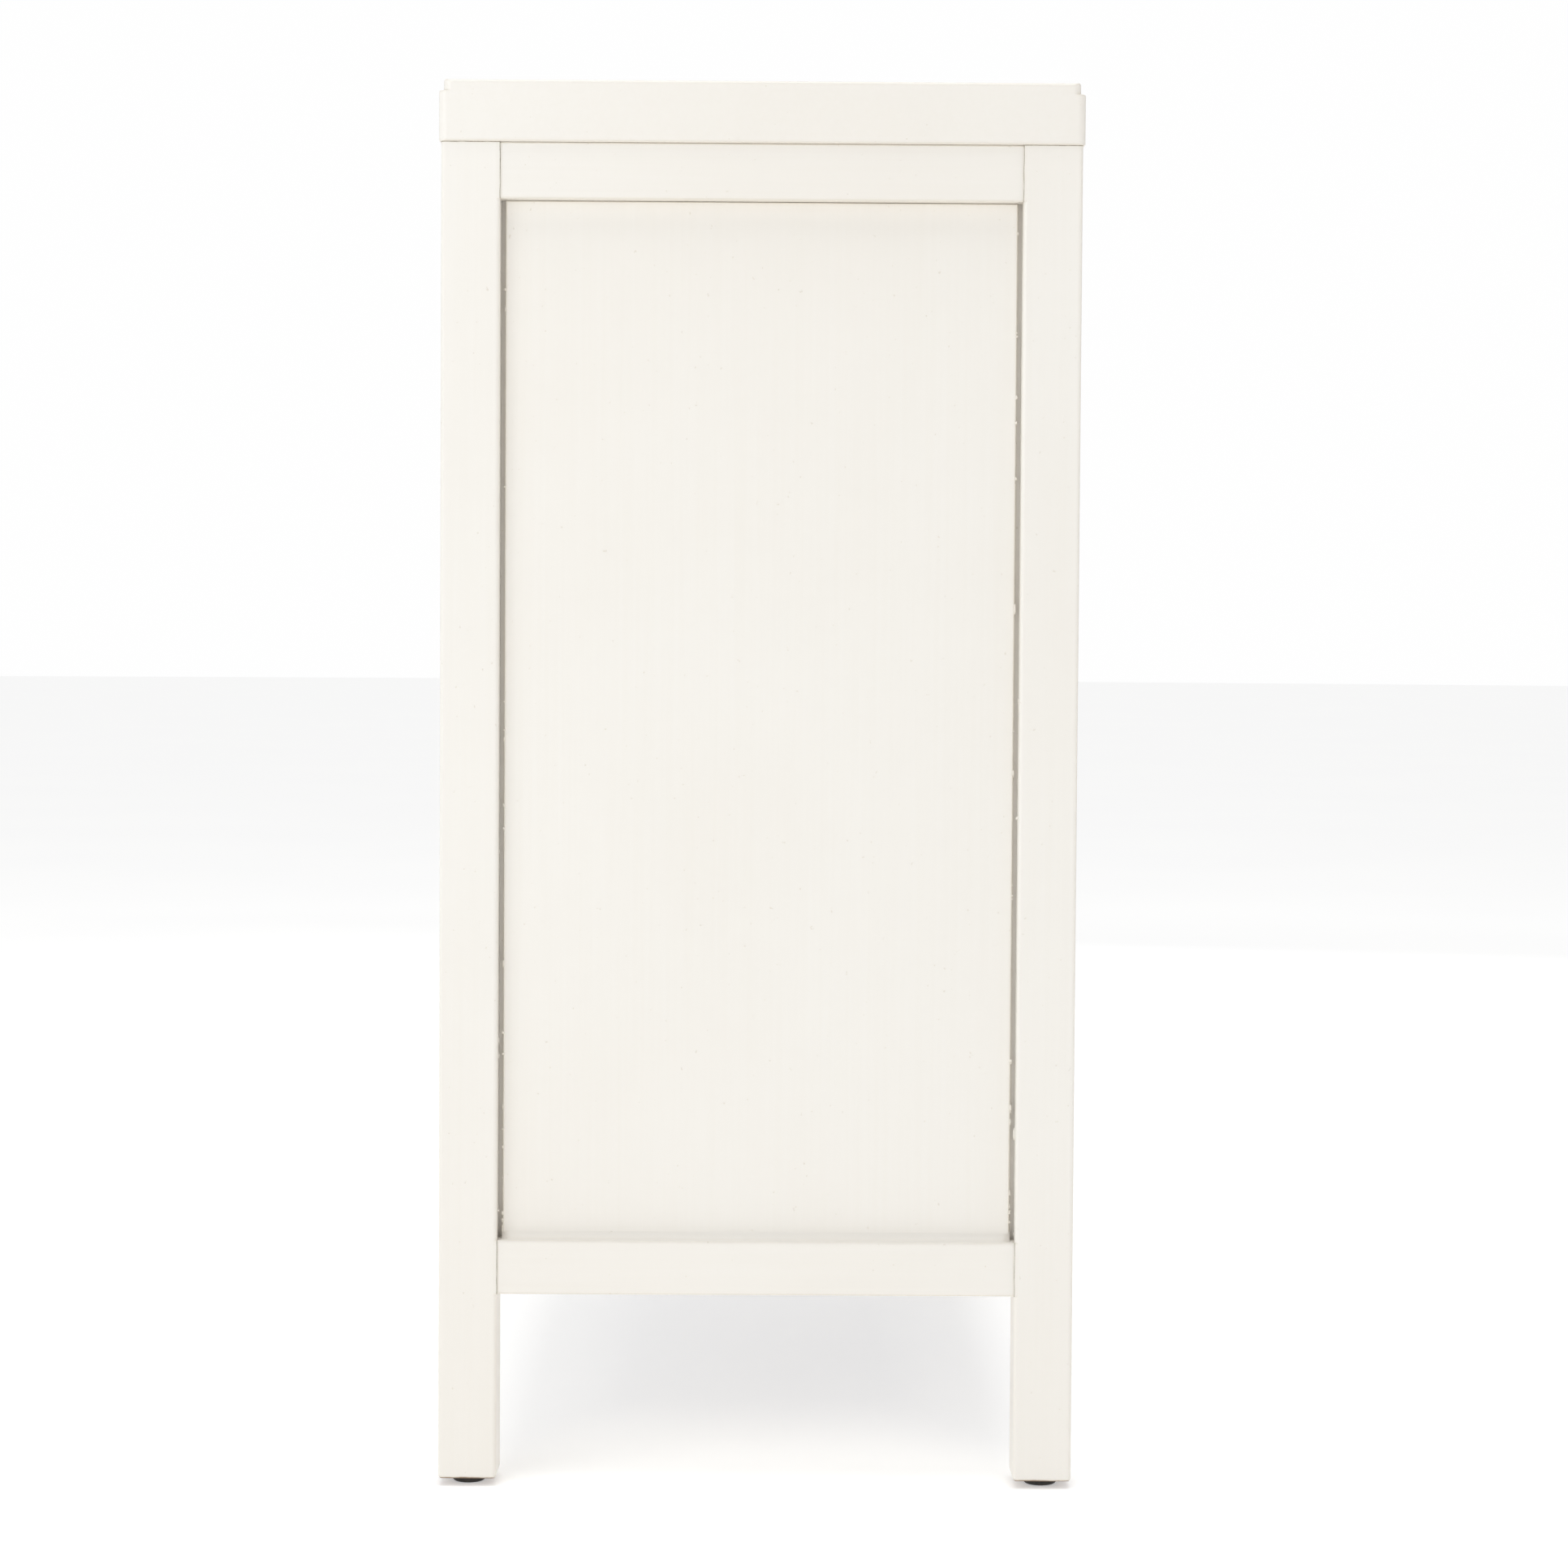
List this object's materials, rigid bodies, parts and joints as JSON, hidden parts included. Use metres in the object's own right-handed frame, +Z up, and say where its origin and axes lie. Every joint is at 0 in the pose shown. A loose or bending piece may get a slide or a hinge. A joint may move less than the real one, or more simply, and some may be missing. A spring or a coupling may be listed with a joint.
{
  "type": "apothecary cabinet",
  "caption": "Free-standing apothecary cabinet on square legs, with framed ends, a stepped-edge top and a grid of ring-pull drawers.",
  "frame": {"origin": "on the floor, under the middle of the cabinet", "axes": "+Z up; the drawers face -Y and the back faces +Y; X runs along the width"},
  "size_m": [0.8, 0.4, 0.876],
  "materials": {
    "lacquered_wood": "cream satin lacquer",
    "inner_wood": "bare pale wood, lightly waxed",
    "pull_brass": "aged brass",
    "glide_plastic": "dark matte",
    "screw_steel": "zinc plated"
  },
  "bodies": {
    "carcass": {"leg_front_left": "lacquered_wood", "leg_front_right": "lacquered_wood", "leg_back_left": "lacquered_wood", "leg_back_right": "lacquered_wood", "top_rail_left": "lacquered_wood", "top_rail_right": "lacquered_wood", "top_rail_front": "lacquered_wood", "top_rail_back": "lacquered_wood", "bottom_rail_left": "lacquered_wood", "bottom_rail_right": "lacquered_wood", "bottom_rail_front": "lacquered_wood", "bottom_rail_back": "lacquered_wood", "panel_left": "lacquered_wood", "panel_right": "lacquered_wood", "panel_back": "lacquered_wood", "top_board": "lacquered_wood", "bottom_board": "lacquered_wood", "column_dividers": "lacquered_wood", "row_rails": "lacquered_wood", "drawer_runners": "inner_wood", "drawer_stops": "inner_wood", "end_battens": "inner_wood", "floor_glides": "glide_plastic", "top_screws": "screw_steel"},
    "drawer_r1c1": {"drawer_r1c1_front": "lacquered_wood", "drawer_r1c1_box": "inner_wood", "drawer_r1c1_pull": "pull_brass"},
    "ring_r1c1": {"drawer_r1c1_ring": "pull_brass"},
    "drawer_r1c2": {"drawer_r1c2_front": "lacquered_wood", "drawer_r1c2_box": "inner_wood", "drawer_r1c2_pull": "pull_brass"},
    "ring_r1c2": {"drawer_r1c2_ring": "pull_brass"},
    "drawer_r1c3": {"drawer_r1c3_front": "lacquered_wood", "drawer_r1c3_box": "inner_wood", "drawer_r1c3_pull": "pull_brass"},
    "ring_r1c3": {"drawer_r1c3_ring": "pull_brass"},
    "drawer_r2c1": {"drawer_r2c1_front": "lacquered_wood", "drawer_r2c1_box": "inner_wood", "drawer_r2c1_pull": "pull_brass"},
    "ring_r2c1": {"drawer_r2c1_ring": "pull_brass"},
    "drawer_r2c2": {"drawer_r2c2_front": "lacquered_wood", "drawer_r2c2_box": "inner_wood", "drawer_r2c2_pull": "pull_brass"},
    "ring_r2c2": {"drawer_r2c2_ring": "pull_brass"},
    "drawer_r2c3": {"drawer_r2c3_front": "lacquered_wood", "drawer_r2c3_box": "inner_wood", "drawer_r2c3_pull": "pull_brass"},
    "ring_r2c3": {"drawer_r2c3_ring": "pull_brass"},
    "drawer_r3c1": {"drawer_r3c1_front": "lacquered_wood", "drawer_r3c1_box": "inner_wood", "drawer_r3c1_pull": "pull_brass"},
    "ring_r3c1": {"drawer_r3c1_ring": "pull_brass"},
    "drawer_r3c2": {"drawer_r3c2_front": "lacquered_wood", "drawer_r3c2_box": "inner_wood", "drawer_r3c2_pull": "pull_brass"},
    "ring_r3c2": {"drawer_r3c2_ring": "pull_brass"},
    "drawer_r3c3": {"drawer_r3c3_front": "lacquered_wood", "drawer_r3c3_box": "inner_wood", "drawer_r3c3_pull": "pull_brass"},
    "ring_r3c3": {"drawer_r3c3_ring": "pull_brass"}
  },
  "joints": [
    {"name": "slide_r1c1", "type": "slide", "parent": "carcass", "child": "drawer_r1c1", "axis": [0, -1, 0], "range_m": [0, 0.25]},
    {"name": "swing_r1c1", "type": "hinge", "parent": "drawer_r1c1", "child": "ring_r1c1", "pos_m": [-0.248, -0.1942, 0.71627], "axis": [-1, 0, 0], "range_deg": [0, 170]},
    {"name": "slide_r1c2", "type": "slide", "parent": "carcass", "child": "drawer_r1c2", "axis": [0, -1, 0], "range_m": [0, 0.25]},
    {"name": "swing_r1c2", "type": "hinge", "parent": "drawer_r1c2", "child": "ring_r1c2", "pos_m": [0, -0.1942, 0.71627], "axis": [-1, 0, 0], "range_deg": [0, 170]},
    {"name": "slide_r1c3", "type": "slide", "parent": "carcass", "child": "drawer_r1c3", "axis": [0, -1, 0], "range_m": [0, 0.25]},
    {"name": "swing_r1c3", "type": "hinge", "parent": "drawer_r1c3", "child": "ring_r1c3", "pos_m": [0.248, -0.1942, 0.71627], "axis": [-1, 0, 0], "range_deg": [0, 170]},
    {"name": "slide_r2c1", "type": "slide", "parent": "carcass", "child": "drawer_r2c1", "axis": [0, -1, 0], "range_m": [0, 0.25]},
    {"name": "swing_r2c1", "type": "hinge", "parent": "drawer_r2c1", "child": "ring_r2c1", "pos_m": [-0.248, -0.1942, 0.4936], "axis": [-1, 0, 0], "range_deg": [0, 170]},
    {"name": "slide_r2c2", "type": "slide", "parent": "carcass", "child": "drawer_r2c2", "axis": [0, -1, 0], "range_m": [0, 0.25]},
    {"name": "swing_r2c2", "type": "hinge", "parent": "drawer_r2c2", "child": "ring_r2c2", "pos_m": [0, -0.1942, 0.4936], "axis": [-1, 0, 0], "range_deg": [0, 170]},
    {"name": "slide_r2c3", "type": "slide", "parent": "carcass", "child": "drawer_r2c3", "axis": [0, -1, 0], "range_m": [0, 0.25]},
    {"name": "swing_r2c3", "type": "hinge", "parent": "drawer_r2c3", "child": "ring_r2c3", "pos_m": [0.248, -0.1942, 0.4936], "axis": [-1, 0, 0], "range_deg": [0, 170]},
    {"name": "slide_r3c1", "type": "slide", "parent": "carcass", "child": "drawer_r3c1", "axis": [0, -1, 0], "range_m": [0, 0.25]},
    {"name": "swing_r3c1", "type": "hinge", "parent": "drawer_r3c1", "child": "ring_r3c1", "pos_m": [-0.248, -0.1942, 0.27093], "axis": [-1, 0, 0], "range_deg": [0, 170]},
    {"name": "slide_r3c2", "type": "slide", "parent": "carcass", "child": "drawer_r3c2", "axis": [0, -1, 0], "range_m": [0, 0.25]},
    {"name": "swing_r3c2", "type": "hinge", "parent": "drawer_r3c2", "child": "ring_r3c2", "pos_m": [0, -0.1942, 0.27093], "axis": [-1, 0, 0], "range_deg": [0, 170]},
    {"name": "slide_r3c3", "type": "slide", "parent": "carcass", "child": "drawer_r3c3", "axis": [0, -1, 0], "range_m": [0, 0.25]},
    {"name": "swing_r3c3", "type": "hinge", "parent": "drawer_r3c3", "child": "ring_r3c3", "pos_m": [0.248, -0.1942, 0.27093], "axis": [-1, 0, 0], "range_deg": [0, 170]}
  ]
}
